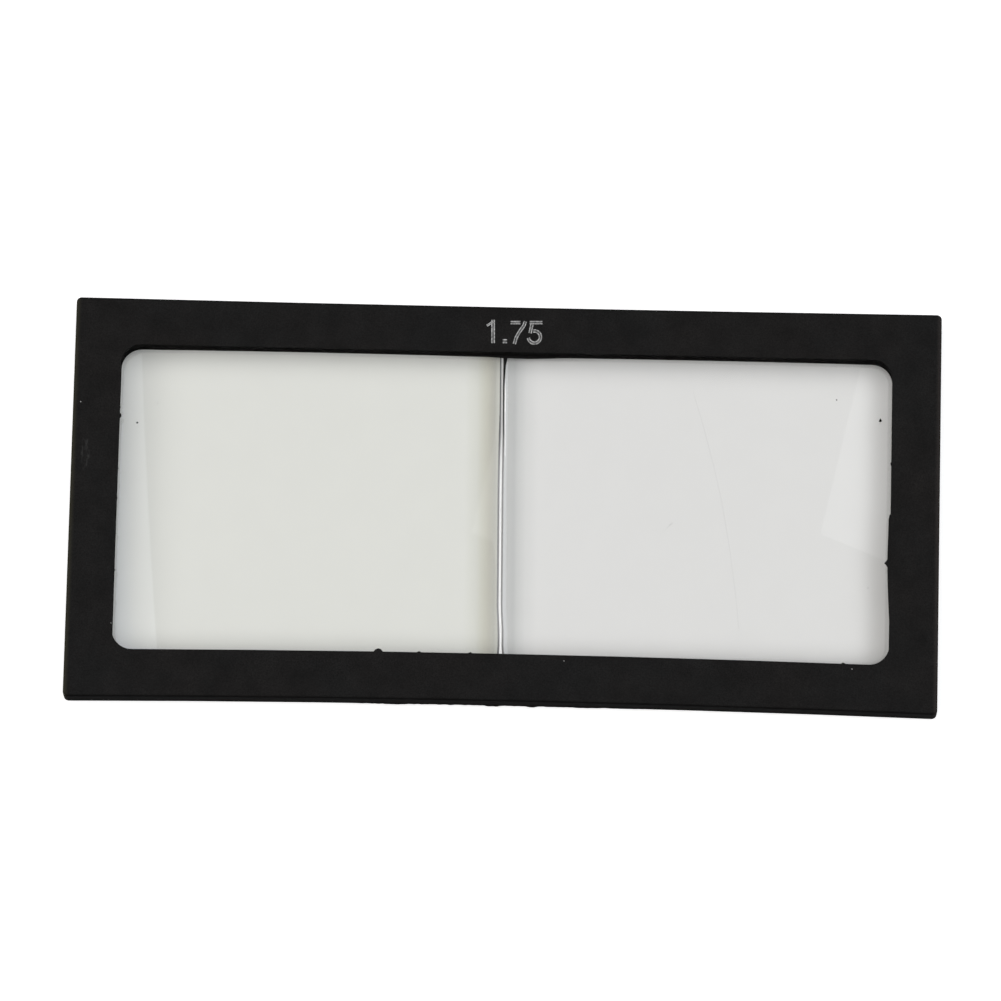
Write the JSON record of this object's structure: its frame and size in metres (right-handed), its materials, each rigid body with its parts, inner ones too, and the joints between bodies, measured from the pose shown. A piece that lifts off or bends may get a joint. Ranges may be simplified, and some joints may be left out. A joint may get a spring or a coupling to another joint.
{
  "type": "welding magnifier lens",
  "caption": "Rectangular magnifier plate for a welding helmet: plano-convex glass lenses held edge to edge in a moulded black plastic frame.",
  "frame": {"origin": "centre of the plate's box in X and Y, at the back face it lies on", "axes": "+X along the plate's length, +Y towards the rail with the power number, +Z out of the crowned front"},
  "size_m": [0.108, 0.051, 0.0032],
  "materials": {
    "frame": "matt black moulded plastic, with flash left at the window's edges",
    "left_glass": "polished crown glass, faintly yellow green",
    "right_glass": "polished crown glass, neutral",
    "print": "thin silver ink, patchy",
    "lint": "loose specks of pale dust"
  },
  "bodies": {
    "root": {"frame": "frame", "left_lens": "left_glass", "right_lens": "right_glass"}
  },
  "joints": []
}
